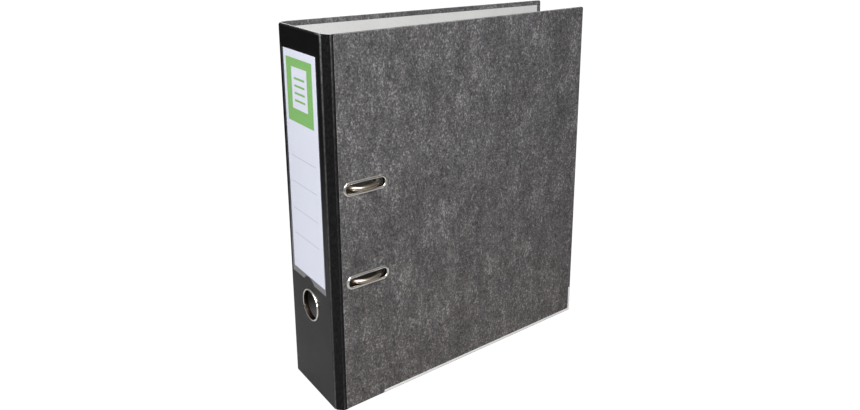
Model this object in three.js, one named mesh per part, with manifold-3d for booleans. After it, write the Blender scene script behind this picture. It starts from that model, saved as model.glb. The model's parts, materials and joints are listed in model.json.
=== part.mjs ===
// Lever arch file: three boards in a paper case, and a nickel-plated lever arch mechanism inside.
// Millimetres, +Z up. The file stands on its lower edges, the spine is at -X and the front cover
// faces -Y. The origin is at the middle of the base.
import * as THREE from 'three';
import { mergeVertices } from 'three/addons/utils/BufferGeometryUtils.js';
import Module from 'manifold-3d';

const wasm = await Module();
wasm.setup();

// Case
const HEIGHT = 318;
const DEPTH = 284;
const THICKNESS = 86;
const TOE_IN = THREE.MathUtils.degToRad(4.5); // the front cover leans towards the back one
const GAP = 0.1; // between glued sheets
const CLEARANCE = 0.3; // between metal pieces

// Layers of a cover or of the spine, as depths below its outer face
const OUTER_SHEET = [0, 0.2];
const BOARD = [0.3, 2.3];
const LINING = [2.4, 2.6];
const PAPER_INSET = { fore: 0.2, foot: 0.3 };
const BOARD_INSET = { fore: 0.5, foot: 0.4 };
const TURN_IN = 5; // the outer paper folded in round the edges, left bare by the lining

// Flexible joints: the hinge axis lies in the middle of the sloping strip at each spine corner
const HINGE_X = 3.4;
const HINGE_DEPTH = 2.8;
const STRIP_LENGTH = 7.2;
const STRIP_THICKNESS = 0.8;
const COVER_START = 4.4; // from the hinge axis to the cover board's edge
const SPINE_WIDTH = 74.6;
const SPINE_LINING_INSET = 1.5;

// Front cover fittings
const ARCH_PITCH = 80; // hole spacing of filed sheets
const SLOT_Z = 154.5;
const MECHANISM_Z = 153.5;
const SLOT_X = 33.4; // from the spine's outer face
const SLOT_HOLE = [37.4, 7.6];
const SLOT_BARREL = 0.4;
const SLOT_FLANGE = 2.2;
const EYELET_DEPTHS = { barrel: [-0.8, 3.4], outside: [-0.9, -0.1], inside: [2.7, 3.5] };

// Edge rails
const RAIL_START = 47; // from the spine's outer face
const RAIL_LEG = 3;
const RAIL_RISE = 27;
const RAIL_WALL = 0.3;

// Spine fittings
const RING = {
  y: 0.4, z: 81.8, bore: 12.7, barrel: 13, flange: 14.8, proud: 1.1, depth: 3.4, chamfer: 0.5,
};
const WASHER = { radius: 15.3, depths: [2.7, 3.3] };
const LABEL = { y: 1.2, z: 203.3, width: 60, height: 192, depths: [-0.5, -0.3] };
const POCKET = { y: 1.2, bottom: 102, top: 302, width: 63, weld: 1.3, film: 0.15, proud: 0.75 };
const NOTCH = { width: 20, height: 4.6 };

// Mechanism, in its own frame: x from the spine's outer face, h up from the back lining,
// z from the middle of the mechanism
const PLATE = { x0: 12, x1: 62, half: 80, h0: 0.1, h1: 1.3, corner: 6 };
const RIVET_PLACES = [[24, 71], [55, 71], [24, -71], [55, -71]];
const RIVET = { shank: 2, head: 4, headHeight: 1.1, tail: 4.5, tailFace: 3.8, proud: 0.6 };
const WIRE_RADIUS = 2;
const AXLE_BORE = 2.35;
const AXLE = { x: 17.5, h: 8 }; // the arch wire turns about its own crossbar
const POST = { x: 49.5, radius: 2.8, h0: 1.6, top: 48 };
const TIP_OVERRUN = 8; // post and arch tip are drawn this far past their meeting, then cut
const CROWN_H = 83.6; // centre of the wire at the top of the arch, just outside the front cover
const ARCH_FOOT_BEND = 5;
const LOOP = { half: 30.5, width: 6, radius: 3.6, sunk: 0.2 };
const CRANK = { x: 35, z0: -10, z1: -22, bend: 3.5 };
const LEVER = { x: 35, width: 10, pivotH: 22.7, sheet: 1.6, flange: 1.2, cheek: 2.8 };
const LEVER_TOP = [[4.5, 4.2], [-16, -1.6], [-38, -10.5], [-62, -14.5], [-70, -14], [-77, -10.5]];
const LEVER_WEB = { heel: [[4.2, -1], [4.2, 4], [-14, -0.8]], toe: 2, belly: 2.6 };
const ROLLER = { radius: 4, arm: 13, droop: THREE.MathUtils.degToRad(40), width: 6.4 };
const PIN_RADIUS = 2;
const PIN_HEAD = { radius: 3.2, height: 1, chamfer: 0.6, play: 0.2 };
const ROLLER_PIN_RADIUS = 1.5;
const BRACKET = { sheet: 1.2, z0: -6.5, z1: 14, h0: 1.6, ear: 4.6, front: 4, back: 8 };
const BAR = { width: 11.4, length: 106, h0: 2.4, h1: 3.9, bore: 3.1 };

const spineFace = -DEPTH / 2;
const backFace = THICKNESS / 2;
const coverLength = DEPTH - HINGE_X;
const slotX = SLOT_X - HINGE_X;

// Materials

function material(color, roughness, metalness) {
  return new THREE.MeshStandardMaterial({ color, roughness, metalness });
}

const blackPaper = material('#1c1c1d', 0.5, 0);
const cloudyPaper = material('#5f5a5a', 0.75, 0);
const greyBoard = material('#8f8a82', 0.9, 0);
const liningPaper = material('#d6d6d2', 0.8, 0);
const nickel = material('#c9c6c0', 0.18, 1);
const railMetal = material('#b9b9b8', 0.35, 1);
const labelPaper = material('#dee0ec', 0.6, 0);
const clearFilm = material('#e8eaf0', 0.15, 0);
clearFilm.transparent = true;
clearFilm.opacity = 0.3;

// Shape helpers

function extrude(shape, depth, curveSegments = 10) {
  return new THREE.ExtrudeGeometry(shape, { depth, curveSegments, steps: 1, bevelEnabled: false });
}

// An outline in x and z, filled between y0 and y1
function slabXZ(shape, y0, y1) {
  return extrude(shape, y1 - y0).rotateX(Math.PI / 2).translate(0, y1, 0);
}

// An outline in y and z, filled between x0 and x1
function slabYZ(shape, x0, x1) {
  return extrude(shape, x1 - x0).rotateX(Math.PI / 2).rotateZ(Math.PI / 2).translate(x0, 0, 0);
}

// An outline in x and y, filled between z0 and z1
function slabXY(shape, z0, z1) {
  return extrude(shape, z1 - z0).translate(0, 0, z0);
}

function polygon(points) {
  return new THREE.Shape(points.map(([a, b]) => new THREE.Vector2(a, b)));
}

function rectangle(a0, a1, b0, b1) {
  return polygon([[a0, b0], [a1, b0], [a1, b1], [a0, b1]]);
}

function roundedRectangle(a0, a1, b0, b1, r) {
  const shape = new THREE.Shape();
  shape.absarc(a1 - r, b0 + r, r, -Math.PI / 2, 0);
  shape.absarc(a1 - r, b1 - r, r, 0, Math.PI / 2);
  shape.absarc(a0 + r, b1 - r, r, Math.PI / 2, Math.PI);
  shape.absarc(a0 + r, b0 + r, r, Math.PI, Math.PI * 1.5);
  return shape;
}

// A slot with half-round ends, long in the first direction
function stadium(a, b, length, width, Kind = THREE.Shape) {
  const r = width / 2;
  const reach = length / 2 - r;
  const outline = new Kind();
  outline.absarc(a + reach, b, r, -Math.PI / 2, Math.PI / 2);
  outline.absarc(a - reach, b, r, Math.PI / 2, Math.PI * 1.5);
  return outline;
}

function hole(a, b, r) {
  return new THREE.Path().absarc(a, b, r, 0, Math.PI * 2);
}

function cylinderX(radius, x0, x1, segments = 24) {
  const middle = (x0 + x1) / 2;
  return new THREE.CylinderGeometry(radius, radius, x1 - x0, segments).rotateZ(-Math.PI / 2)
    .translate(middle, 0, 0);
}

function cylinderZ(radius, z0, z1, segments = 24) {
  const middle = (z0 + z1) / 2;
  return new THREE.CylinderGeometry(radius, radius, z1 - z0, segments).rotateX(Math.PI / 2)
    .translate(0, 0, middle);
}

// A closed profile of [radius, along] points, turned about the x axis
function turnedX(profile, segments = 32) {
  const points = profile.map(([r, along]) => new THREE.Vector2(r, along));
  return new THREE.LatheGeometry(points, segments).rotateZ(-Math.PI / 2);
}

// The same, turned about the y axis
function turnedY(profile, segments = 24) {
  return new THREE.LatheGeometry(profile.map(([r, y]) => new THREE.Vector2(r, y)), segments);
}

// Joining and cutting

function solid(geometry) {
  const bare = geometry.clone();
  bare.deleteAttribute('normal');
  bare.deleteAttribute('uv');
  const merged = mergeVertices(bare, 1e-4);
  return new wasm.Manifold(new wasm.Mesh({
    numProp: 3,
    vertProperties: new Float32Array(merged.attributes.position.array),
    triVerts: new Uint32Array(merged.index.array),
  }));
}

function surface(body) {
  const mesh = body.getMesh();
  const geometry = new THREE.BufferGeometry();
  geometry.setAttribute('position', new THREE.BufferAttribute(mesh.vertProperties, 3));
  geometry.setIndex(new THREE.BufferAttribute(mesh.triVerts, 1));
  return geometry;
}

function join(...geometries) {
  return surface(geometries.map(solid).reduce((whole, next) => whole.add(next)));
}

function cut(geometry, ...tools) {
  return surface(tools.map(solid).reduce((rest, tool) => rest.subtract(tool), solid(geometry)));
}

function add(group, name, geometry, finish) {
  const mesh = new THREE.Mesh(geometry, finish);
  mesh.name = name;
  group.add(mesh);
}

// Covers. Each is drawn in its own frame: origin on its hinge axis, +X towards the fore edge.
// side is -1 for the front cover and 1 for the back one, whose outer face looks along +Y.

function layer(outline, side, [outer, inner]) {
  const ends = [side * (HINGE_DEPTH - outer), side * (HINGE_DEPTH - inner)];
  return slabXZ(outline, Math.min(...ends), Math.max(...ends));
}

function boardOutline() {
  const { fore, foot } = BOARD_INSET;
  return rectangle(COVER_START, coverLength - fore, foot, HEIGHT);
}

// The outer paper stops short of the metal rail at the lower fore corner
function outerOutline() {
  const railX = RAIL_START - HINGE_X - GAP;
  const { foot } = PAPER_INSET;
  const fore = coverLength - PAPER_INSET.fore;
  const inside = coverLength - RAIL_LEG - GAP;
  const above = RAIL_LEG + GAP;
  const rise = RAIL_RISE + GAP;
  return polygon([[COVER_START, foot], [railX, foot], [railX, above], [inside, above],
    [inside, rise], [fore, rise], [fore, HEIGHT], [COVER_START, HEIGHT]]);
}

function liningOutline() {
  return rectangle(COVER_START + TURN_IN, coverLength - TURN_IN, TURN_IN, HEIGHT - TURN_IN);
}

function edgeRail(side) {
  const x0 = RAIL_START - HINGE_X;
  const outer = polygon([[x0, 0], [coverLength, 0], [coverLength, RAIL_RISE],
    [coverLength - RAIL_LEG, RAIL_RISE], [coverLength - RAIL_LEG, RAIL_LEG], [x0, RAIL_LEG]]);
  const channel = rectangle(x0 - 1, coverLength - RAIL_WALL, RAIL_WALL, RAIL_RISE + 1);
  const profile = layer(outer, side, [OUTER_SHEET[0] - GAP, LINING[0] + RAIL_WALL]);
  return cut(profile, layer(channel, side, [OUTER_SHEET[1], LINING[0]]));
}

function withHoles(outline, holes) {
  outline.holes.push(...holes);
  return outline;
}

function slotEyelet(z) {
  const [length, width] = SLOT_HOLE;
  const ring = (grow) => withHoles(stadium(slotX, z, length + grow, width + grow),
    [stadium(slotX, z, length, width, THREE.Path)]);
  const flangeGrow = 2 * SLOT_FLANGE;
  return join(
    layer(ring(2 * SLOT_BARREL), -1, EYELET_DEPTHS.barrel),
    layer(ring(flangeGrow), -1, EYELET_DEPTHS.outside),
    layer(ring(flangeGrow), -1, EYELET_DEPTHS.inside),
  );
}

function frontCover() {
  const group = new THREE.Group();
  group.position.set(spineFace + HINGE_X, -backFace + HINGE_DEPTH, 0);
  group.rotation.z = TOE_IN;
  const slots = [SLOT_Z + ARCH_PITCH / 2, SLOT_Z - ARCH_PITCH / 2];
  const grow = 2 * (SLOT_BARREL + CLEARANCE);
  const cutouts = () => slots.map((z) =>
    stadium(slotX, z, SLOT_HOLE[0] + grow, SLOT_HOLE[1] + grow, THREE.Path));
  add(group, 'front_cover_paper', layer(withHoles(outerOutline(), cutouts()), -1, OUTER_SHEET),
    cloudyPaper);
  add(group, 'front_cover_board', layer(withHoles(boardOutline(), cutouts()), -1, BOARD), greyBoard);
  add(group, 'front_cover_lining', layer(withHoles(liningOutline(), cutouts()), -1, LINING),
    liningPaper);
  add(group, 'front_edge_rail', edgeRail(-1), railMetal);
  add(group, 'slot_eyelet_upper', slotEyelet(slots[0]), nickel);
  add(group, 'slot_eyelet_lower', slotEyelet(slots[1]), nickel);
  return group;
}

function backCover() {
  const group = new THREE.Group();
  group.position.set(spineFace + HINGE_X, backFace - HINGE_DEPTH, 0);
  const rivetHoles = () => RIVET_PLACES.map(([x, z]) =>
    hole(x - HINGE_X, z + MECHANISM_Z, RIVET.shank + CLEARANCE));
  add(group, 'back_cover_paper', layer(withHoles(outerOutline(), rivetHoles()), 1, OUTER_SHEET),
    cloudyPaper);
  add(group, 'back_cover_board', layer(withHoles(boardOutline(), rivetHoles()), 1, BOARD), greyBoard);
  add(group, 'back_cover_lining', layer(withHoles(liningOutline(), rivetHoles()), 1, LINING),
    liningPaper);
  add(group, 'back_edge_rail', edgeRail(1), railMetal);
  return group;
}

// Spine, drawn with x as the depth below its outer face

// One sloping strip between the spine and a cover, standing on the hinge axis
function hingeStrip(side) {
  const strip = rectangle(-STRIP_LENGTH / 2, STRIP_LENGTH / 2, -STRIP_THICKNESS / 2,
    STRIP_THICKNESS / 2);
  const slope = Math.atan2(HINGE_DEPTH, HINGE_X);
  return slabXY(strip, 0, HEIGHT).rotateZ(side * slope)
    .translate(HINGE_X, side * (backFace - HINGE_DEPTH), 0);
}

function fingerRing() {
  const { bore, barrel, flange, proud, depth, chamfer } = RING;
  const profile = [[bore, depth], [bore, -proud], [flange - chamfer, -proud],
    [flange, -proud + chamfer], [flange, -GAP], [barrel, -GAP], [barrel, depth], [bore, depth]];
  return turnedX(profile).translate(0, RING.y, RING.z);
}

function fingerRingWasher() {
  const inside = RING.barrel + CLEARANCE;
  const { radius: outside, depths: [near, far] } = WASHER;
  const profile = [[inside, far], [inside, near], [outside, near], [outside, far], [inside, far]];
  return turnedX(profile).translate(0, RING.y, RING.z);
}

function labelPocket() {
  const { y, bottom, top, width, weld, film, proud } = POCKET;
  const outer = slabYZ(rectangle(y - width / 2, y + width / 2, bottom, top), -proud, -GAP);
  const inner = slabYZ(rectangle(y - width / 2 + weld, y + width / 2 - weld, bottom + weld,
    top + 1), film - proud, 1);
  const radius = (NOTCH.width ** 2 / 4 + NOTCH.height ** 2) / (2 * NOTCH.height);
  const notch = cylinderX(radius, -2, 2, 48).translate(0, y, bottom + NOTCH.height - radius);
  return cut(outer, inner, notch);
}

function spine() {
  const group = new THREE.Group();
  group.position.set(spineFace, 0, 0);
  const half = SPINE_WIDTH / 2;
  const sheet = (inset, bottom) => withHoles(
    rectangle(-half + inset, half - inset, bottom, HEIGHT - bottom),
    [hole(RING.y, RING.z, RING.barrel + CLEARANCE)]);
  const label = rectangle(LABEL.y - LABEL.width / 2, LABEL.y + LABEL.width / 2,
    LABEL.z - LABEL.height / 2, LABEL.z + LABEL.height / 2);
  add(group, 'spine_covering', slabYZ(sheet(0, 0), ...OUTER_SHEET), blackPaper);
  add(group, 'spine_board', slabYZ(sheet(0, 0), ...BOARD), greyBoard);
  add(group, 'spine_lining', slabYZ(sheet(SPINE_LINING_INSET, TURN_IN), ...LINING), liningPaper);
  add(group, 'front_hinge_strip', hingeStrip(-1), blackPaper);
  add(group, 'back_hinge_strip', hingeStrip(1), blackPaper);
  add(group, 'finger_ring', fingerRing(), nickel);
  add(group, 'finger_ring_washer', fingerRingWasher(), nickel);
  add(group, 'spine_label', slabYZ(label, ...LABEL.depths), labelPaper);
  add(group, 'label_pocket', labelPocket(), clearFilm);
  return group;
}

// Mechanism. Height h above the lining runs along -Y.

// An outline given as [z, h] points, filled from x0 to x1
function sideSlab(points, x0, x1) {
  return slabYZ(polygon(points.map(([z, h]) => [-h, z])), x0, x1);
}

function arc(a, b, r, from, to, steps = 8) {
  return Array.from({ length: steps + 1 }, (_, i) => {
    const angle = from + ((to - from) * i) / steps;
    return [a + r * Math.cos(angle), b + r * Math.sin(angle)];
  });
}

// A bar with round ends from point p to point q
function link(p, q, r) {
  const along = Math.atan2(q[1] - p[1], q[0] - p[0]);
  const quarter = Math.PI / 2;
  return [...arc(...q, r, along - quarter, along + quarter),
    ...arc(...p, r, along + quarter, along + 3 * quarter)];
}

// A sheet of even thickness seen edge on, following a few points
function bentSheet(points, thickness) {
  const edge = (side) => points.map((point, i) => {
    const before = points[Math.max(i - 1, 0)];
    const after = points[Math.min(i + 1, points.length - 1)];
    const length = Math.hypot(after[0] - before[0], after[1] - before[1]);
    const offset = (side * thickness) / 2 / length;
    return [point[0] - (after[1] - before[1]) * offset, point[1] + (after[0] - before[0]) * offset];
  });
  return [...edge(1), ...edge(-1).reverse()];
}

// A wire's centre line through listed corners, each rounded to its own bend radius
class BentWire extends THREE.Curve {
  constructor(corners) {
    super();
    this.stops = [corners[0].at];
    for (let i = 1; i < corners.length - 1; i += 1) {
      const { at, bend, steps = 5 } = corners[i];
      const back = corners[i - 1].at.clone().sub(at).normalize();
      const onward = corners[i + 1].at.clone().sub(at).normalize();
      const centre = back.clone().add(onward).multiplyScalar(bend).add(at);
      for (let k = 0; k <= steps; k += 1) {
        const angle = (Math.PI / 2) * (k / steps);
        this.stops.push(centre.clone().addScaledVector(onward, -bend * Math.cos(angle))
          .addScaledVector(back, -bend * Math.sin(angle)));
      }
    }
    this.stops.push(corners.at(-1).at);
    this.stops = this.stops.filter((stop, i, all) => i === 0 || stop.distanceTo(all[i - 1]) > 0.01);
  }

  getPointAt(u) {
    return this.stops[Math.round(u * (this.stops.length - 1))].clone();
  }

  getTangentAt(u) {
    const i = Math.round(u * (this.stops.length - 1));
    const before = this.stops[Math.max(i - 1, 0)];
    const after = this.stops[Math.min(i + 1, this.stops.length - 1)];
    return after.clone().sub(before).normalize();
  }

  getSpacedPoints() {
    return this.stops.map((stop) => stop.clone());
  }
}

// A block with one face at the meeting of post and arch tip, square to the tip's path as the arch
// starts to swing. side is 1 to take away what lies ahead of that face and -1 for what lies behind.
function tipCutter(z, side) {
  const size = 20;
  const ahead = Math.atan2(AXLE.x - POST.x, AXLE.h - POST.top);
  return new THREE.BoxGeometry(size, size, size).translate(side * (size - CLEARANCE) / 2, 0, 0)
    .rotateZ(ahead).translate(POST.x, -POST.top, z);
}

function archWire() {
  const pitch = ARCH_PITCH / 2;
  const radius = (POST.x - AXLE.x) / 2;
  const at = (x, h, z) => new THREE.Vector3(x, -h, z);
  const crown = { bend: radius, steps: 8 };
  const foot = { bend: ARCH_FOOT_BEND };
  const { x, z0, z1, bend } = CRANK;
  const curve = new BentWire([
    { at: at(POST.x, POST.top - TIP_OVERRUN, pitch) },
    { at: at(POST.x, CROWN_H, pitch), ...crown },
    { at: at(AXLE.x, CROWN_H, pitch), ...crown },
    { at: at(AXLE.x, AXLE.h, pitch), ...foot },
    { at: at(AXLE.x, AXLE.h, z0), bend },
    { at: at(x, AXLE.h, z0), bend },
    { at: at(x, AXLE.h, z1), bend },
    { at: at(AXLE.x, AXLE.h, z1), bend },
    { at: at(AXLE.x, AXLE.h, -pitch), ...foot },
    { at: at(AXLE.x, CROWN_H, -pitch), ...crown },
    { at: at(POST.x, CROWN_H, -pitch), ...crown },
    { at: at(POST.x, POST.top - TIP_OVERRUN, -pitch) },
  ]);
  const section = new THREE.Shape().absarc(0, 0, WIRE_RADIUS, 0, Math.PI * 2);
  const wire = new THREE.ExtrudeGeometry(section, {
    steps: curve.stops.length - 1, curveSegments: 6, extrudePath: curve,
  });
  return cut(wire, tipCutter(pitch, -1), tipCutter(-pitch, -1));
}

function post(z) {
  const { x, radius, h0, top } = POST;
  const height = top + TIP_OVERRUN - h0;
  const tube = new THREE.CylinderGeometry(radius, radius, height, 20)
    .translate(x, -(h0 + height / 2), z);
  return cut(tube, tipCutter(z, 1));
}

function basePlate() {
  const { x0, x1, half, h0, h1, corner } = PLATE;
  const outline = withHoles(roundedRectangle(x0, x1, -half, half, corner),
    RIVET_PLACES.map(([x, z]) => hole(x, z, RIVET.shank + CLEARANCE)));
  const loops = [LOOP.half, -LOOP.half].map((z) => {
    const rooted = [AXLE.x, LOOP.sunk - h1 - LOOP.radius];
    const tab = polygon(link(rooted, [AXLE.x, -AXLE.h], LOOP.radius));
    return slabXY(tab, z - LOOP.width / 2, z + LOOP.width / 2);
  });
  const bore = cylinderZ(AXLE_BORE, -half, half).translate(AXLE.x, -AXLE.h, 0);
  const feet = loops.map((loop) => cut(loop, bore));
  return join(slabXZ(outline, -h1, -h0), ...feet);
}

// Where the roller sits at rest: [z, h]
function rollerPlace() {
  return [-ROLLER.arm * Math.cos(ROLLER.droop), LEVER.pivotH - ROLLER.arm * Math.sin(ROLLER.droop)];
}

function leverBracket() {
  const { sheet, z0, z1, h0, front, back } = BRACKET;
  const inner = LEVER.width / 2 + CLEARANCE;
  const ear = [[z0, h0], [z1, h0], [z1, h0 + front],
    ...arc(0, LEVER.pivotH, BRACKET.ear, 0, Math.PI), [z0, h0 + back]];
  const bore = cylinderX(PIN_RADIUS + CLEARANCE, 0, 2 * LEVER.x).translate(0, -LEVER.pivotH, 0);
  const ears = [-inner - sheet, inner].map((x) => cut(
    sideSlab(ear, LEVER.x + x, LEVER.x + x + sheet), bore));
  const floor = sideSlab([[z0, h0], [z1, h0], [z1, h0 + sheet], [z0, h0 + sheet]],
    LEVER.x - inner - sheet / 2, LEVER.x + inner + sheet / 2);
  return join(floor, ...ears);
}

function pivotPin() {
  const { radius, height, chamfer, play } = PIN_HEAD;
  const reach = LEVER.width / 2 + CLEARANCE + BRACKET.sheet + play;
  const head = [[PIN_RADIUS, reach], [radius, reach], [radius, reach + height - chamfer],
    [radius - chamfer, reach + height], [0, reach + height]];
  const mirrored = head.map(([r, along]) => [r, -along]).reverse();
  return turnedX([...mirrored, ...head], 20).translate(LEVER.x, -LEVER.pivotH, 0);
}

function lever() {
  const { x, width, pivotH, sheet, flange } = LEVER;
  const [rollerZ, rollerH] = rollerPlace();
  const fromPivot = ([z, h]) => [z, pivotH + h];
  const top = LEVER_TOP.map(fromPivot);
  const cheek = link([0, pivotH], [rollerZ, rollerH], LEVER.cheek);
  const web = [...LEVER_WEB.heel.map(fromPivot), [rollerZ - LEVER_WEB.toe, rollerH],
    [0, pivotH - LEVER_WEB.belly]];
  const blank = sideSlab(bentSheet(top, sheet), x - width / 2, x + width / 2);
  const cheeks = [x - width / 2, x + width / 2 - flange].flatMap((x0) =>
    [sideSlab(cheek, x0, x0 + flange), sideSlab(web, x0, x0 + flange)]);
  const pivotBore = cylinderX(PIN_RADIUS + CLEARANCE, 0, 2 * x).translate(0, -pivotH, 0);
  const rollerBore = cylinderX(ROLLER_PIN_RADIUS + CLEARANCE, 0, 2 * x)
    .translate(0, -rollerH, rollerZ);
  return cut(join(blank, ...cheeks), pivotBore, rollerBore);
}

function rollerPin() {
  const [z, h] = rollerPlace();
  const reach = LEVER.width / 2 - GAP;
  return cylinderX(ROLLER_PIN_RADIUS, -reach, reach, 16).translate(LEVER.x, -h, z);
}

function roller() {
  const [z, h] = rollerPlace();
  const half = ROLLER.width / 2;
  const bore = ROLLER_PIN_RADIUS + CLEARANCE;
  const edge = 0.5;
  const profile = [[bore, half], [bore, -half], [ROLLER.radius - edge, -half],
    [ROLLER.radius, -half + edge], [ROLLER.radius, half - edge], [ROLLER.radius - edge, half],
    [bore, half]];
  return turnedX(profile, 28).translate(LEVER.x, -h, z);
}

function rivet(x, z) {
  const { shank, head, headHeight, tail, tailFace, proud } = RIVET;
  const inner = PLATE.h1 + GAP;
  const outer = -(LINING[1] + GAP);
  const profile = [[0, inner + headHeight], [head * 0.6, inner + headHeight * 0.8], [head, inner],
    [shank, inner], [shank, outer], [tail, outer], [tailFace, outer - proud],
    [0, outer - proud]];
  return turnedY(profile.map(([r, h]) => [r, -h])).translate(x, 0, z);
}

function compressorBar() {
  const { width, length, h0, h1, bore } = BAR;
  const pitch = ARCH_PITCH / 2;
  const across = stadium(0, 0, length, width);
  across.holes.push(hole(pitch, 0, bore), hole(-pitch, 0, bore));
  return slabXZ(across, -h1, -h0).rotateY(Math.PI / 2).translate(POST.x, 0, 0);
}

function mechanism() {
  const group = new THREE.Group();
  group.position.set(spineFace, backFace - LINING[1], MECHANISM_Z);
  const pitch = ARCH_PITCH / 2;
  add(group, 'base_plate', basePlate(), nickel);
  RIVET_PLACES.forEach(([x, z], i) => add(group, `rivet_${i + 1}`, rivet(x, z), nickel));
  add(group, 'post_upper', post(pitch), nickel);
  add(group, 'post_lower', post(-pitch), nickel);
  add(group, 'arch_wire', archWire(), nickel);
  add(group, 'lever_bracket', leverBracket(), nickel);
  add(group, 'lever_pivot_pin', pivotPin(), nickel);
  add(group, 'lever', lever(), nickel);
  add(group, 'roller_pin', rollerPin(), nickel);
  add(group, 'roller', roller(), nickel);
  add(group, 'compressor_bar', compressorBar(), nickel);
  return group;
}

const file = new THREE.Group();
file.add(backCover(), spine(), frontCover(), mechanism());

export default file;
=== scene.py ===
"""The looks of a lever arch file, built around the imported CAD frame.

Shapes are drawn in millimetres and turned into the frame's metres when a mesh is made.
A cover is drawn in its own frame: "along" runs from its hinge axis to the fore edge, "depth" runs
from its outer face inwards, and z is up. The mechanism is drawn with "across" from the spine's outer
face, "height" up from the back lining, and z from the middle of the mechanism.
"""

import json
import math

import bmesh
import bpy
from mathutils import Matrix, Vector
from mathutils.geometry import tessellate_polygon


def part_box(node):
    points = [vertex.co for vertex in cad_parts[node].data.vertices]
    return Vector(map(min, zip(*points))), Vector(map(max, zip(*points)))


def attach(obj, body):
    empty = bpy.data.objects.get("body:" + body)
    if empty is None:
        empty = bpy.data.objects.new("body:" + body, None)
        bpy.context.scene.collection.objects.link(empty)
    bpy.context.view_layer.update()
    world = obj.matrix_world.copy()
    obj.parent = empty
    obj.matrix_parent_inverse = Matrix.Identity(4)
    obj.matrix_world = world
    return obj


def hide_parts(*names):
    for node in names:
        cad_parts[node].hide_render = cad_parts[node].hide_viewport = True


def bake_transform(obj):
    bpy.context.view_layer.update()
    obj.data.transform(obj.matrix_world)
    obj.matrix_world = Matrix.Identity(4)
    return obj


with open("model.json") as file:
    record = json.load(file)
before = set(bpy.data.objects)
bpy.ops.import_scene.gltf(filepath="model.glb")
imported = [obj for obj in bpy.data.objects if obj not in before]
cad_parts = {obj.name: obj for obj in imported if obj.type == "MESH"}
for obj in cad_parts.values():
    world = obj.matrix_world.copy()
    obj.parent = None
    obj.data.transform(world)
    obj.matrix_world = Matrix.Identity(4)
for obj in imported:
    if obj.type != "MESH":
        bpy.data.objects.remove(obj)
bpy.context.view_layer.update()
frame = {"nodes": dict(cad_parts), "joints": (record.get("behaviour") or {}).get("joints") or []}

MM = 0.001


def joint_place(name):
    """Where a joint's axis passes, in millimetres."""
    found = next(joint for joint in frame["joints"] if joint["name"] == name)
    return Vector(found["pos_m"]) / MM


def low(node):
    """The low corner of a CAD node's box, in millimetres."""
    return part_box(node)[0] / MM


def high(node):
    """The high corner of a CAD node's box, in millimetres."""
    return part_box(node)[1] / MM


# Case
FRONT_HINGE = joint_place("front_cover_hinge")
BACK_HINGE = joint_place("spine_hinge")
SPINE_FACE = low("spine_covering").x
BACK_FACE = high("back_cover_paper").y
TOP = high("spine_covering").z
FORE_EDGE = high("back_edge_rail").x - BACK_HINGE.x
HINGE_DEPTH = BACK_FACE - BACK_HINGE.y
TOE_IN = math.radians(4.5)
BOTTOM = 0.1
BOARD_THICKNESS = 2.35
COVER_THICKNESS = 2.45
COVER_FORE_INSET = 0.3
PAPER_START = 5.05
LINING_START = 10.2
LINING_INSET = 5
LINING_TOP_INSET = 4.4
LINING_DEPTHS = (2.46, 2.62)
FRONT_TOP_DROP = 0.5
CORNER_RADIUS = 1.8
COVER_RADII = (0.3, CORNER_RADIUS, CORNER_RADIUS, 0.3)
WRAP_RADII = (0.8, 0.6)
SPINE_EDGE_RADII = (1.7, 0.4)
SPINE_HALF = 37.9
JOINT_FOOT = 0.2
JOINT_TOP_INSET = 0.1
JOINT_RIDGE = 0.7  # how far along a joint's outer line its ridge stands

# Front cover fittings
SLOT_ALONG = 30
SLOT_LENGTH = 37.4
SLOT_WIDTH = 7.6
SLOT_PLAY = 1
LINING_SLOT_PLAY = 3.6
ARCH_PITCH = 80
SLOT_MIDDLE = 154.5

# Metal rail at the lower fore corner
RAIL_START = low("back_edge_rail").x - BACK_HINGE.x
RAIL_RISE = high("back_edge_rail").z
RAIL_LEG = 3
RAIL_WALL = 0.3
RAIL_BEND = 1.2
RAIL_CORNER = 0.8
RAIL_DEPTHS = (-0.1, 2.7)

# Spine fittings
RING_CENTRE = (low("finger_ring") + high("finger_ring")) / 2
RING_HOLE = 13.3
RING_BORE = 12.7
RING_DEPTH = 2.9
RING_BARREL = 13.25
RING_TRIM = 0.45
RING_OUTER = (high("finger_ring").z - low("finger_ring").z) / 2 - RING_TRIM
RING_STEPS = 120
RING_NICKS = (math.radians(-26), math.radians(155))
NICK_REACH = 0.1
NICK_DEPTH = 0.7
NICK_SQUEEZE = 0.04
NOTCH_WIDTH = 20
NOTCH_HEIGHT = 4.6
LABEL_TRIM = (2.2, 0.9)  # how much narrower and shorter the card is than its CAD node
POCKET_TRIM = 0.6
LABEL_LOW = low("spine_label") + Vector((0, 0, LABEL_TRIM[1]))
LABEL_HIGH = high("spine_label") - Vector((0, LABEL_TRIM[0], 0))
POCKET_LOW = low("label_pocket") + Vector((0, 0, POCKET_TRIM))
POCKET_HIGH = high("label_pocket")
FILM_PLAY = 0.2
LABEL_DEPTHS = (-0.5, -0.1)
BORDER_DEPTHS = (-0.3, -0.08)
FILM_DEPTHS = (-0.72, -0.6)

# What is printed on the label, across from the front cover's plane and up from the foot
LABEL_BLOCK = (20.4, 67.5, 240.6, 293.2)
LABEL_RULES = (210.5, 187.7, 163.8, 141.1)
RULE_HALF = 0.25
SIGN_PAGE = (30, 58, 252, 286)
SIGN_LINES = (277, 271, 265, 259)
SIGN_LINE_ENDS = (34.5, 53.5)
SIGN_LINE_HALF = 0.9

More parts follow.
